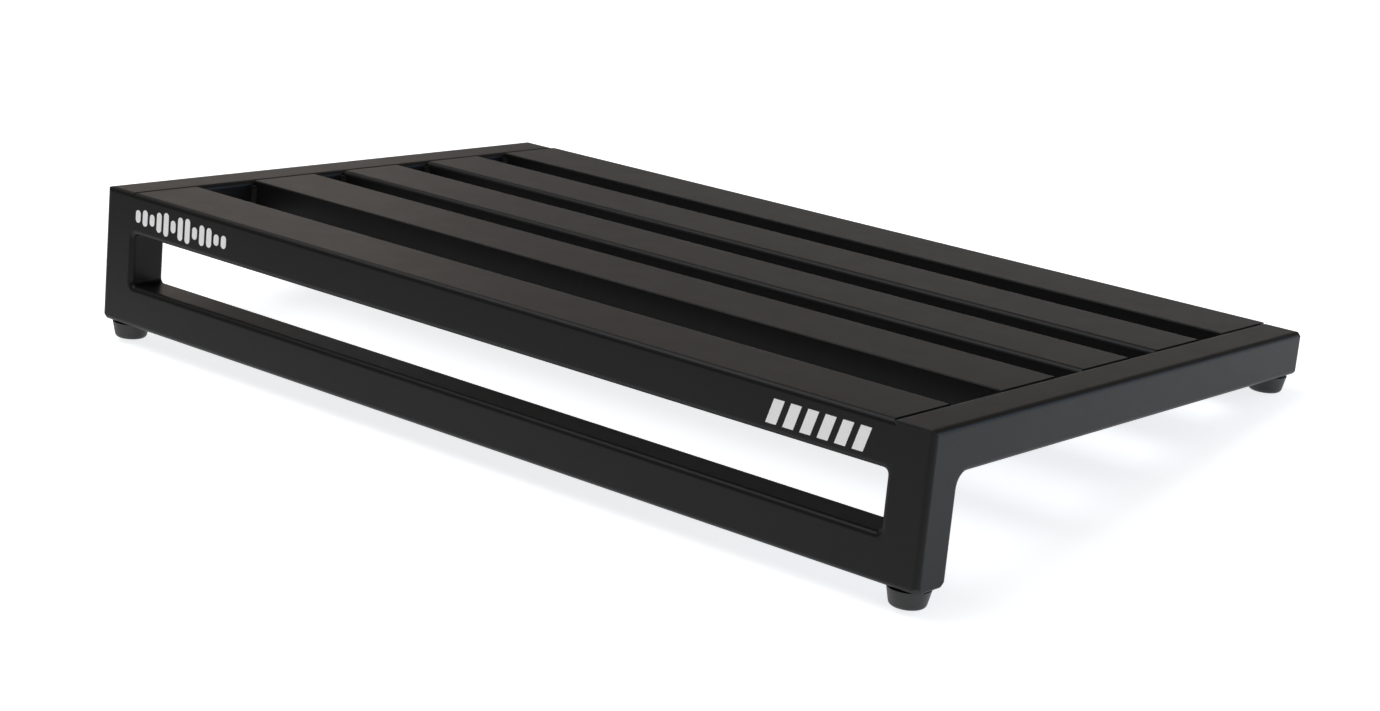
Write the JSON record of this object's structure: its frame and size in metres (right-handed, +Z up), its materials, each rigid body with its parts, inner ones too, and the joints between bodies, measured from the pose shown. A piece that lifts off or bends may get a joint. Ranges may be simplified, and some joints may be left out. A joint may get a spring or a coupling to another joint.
{
  "type": "pedalboard",
  "caption": "Sloping slatted board that holds effect pedals: a welded black tube frame with rear legs, a lower rear bar and screwed-on rubber feet.",
  "frame": {"origin": "on the floor, under the middle of the whole object's box", "axes": "+Z up, +Y towards the low front edge where the player stands, +X across the board; left (-X) and right (+X) in the names are as seen from the rear, tall side, looking along +Y"},
  "size_m": [0.6096, 0.3824, 0.0951],
  "materials": {
    "powder_coat": "satin black powder coat with a fine texture over welded aluminium tube",
    "foot_rubber": "smooth moulded black rubber",
    "zinc_steel": "bright zinc-plated steel"
  },
  "bodies": {
    "root": {"left_side_rail": "powder_coat", "right_side_rail": "powder_coat", "left_leg": "powder_coat", "right_leg": "powder_coat", "lower_rear_bar": "powder_coat", "deck_rail_1": "powder_coat", "deck_rail_2": "powder_coat", "deck_rail_3": "powder_coat", "deck_rail_4": "powder_coat", "deck_rail_5": "powder_coat", "left_front_end_plate": "powder_coat", "right_front_end_plate": "powder_coat", "left_leg_end_plate": "powder_coat", "right_leg_end_plate": "powder_coat", "deck_rail_welds": "powder_coat", "leg_welds": "powder_coat", "rear_left_foot": "foot_rubber", "rear_right_foot": "foot_rubber", "front_left_foot": "foot_rubber", "front_right_foot": "foot_rubber", "foot_washers": "zinc_steel", "foot_screws": "zinc_steel", "rivet_nuts": "zinc_steel"}
  },
  "joints": []
}
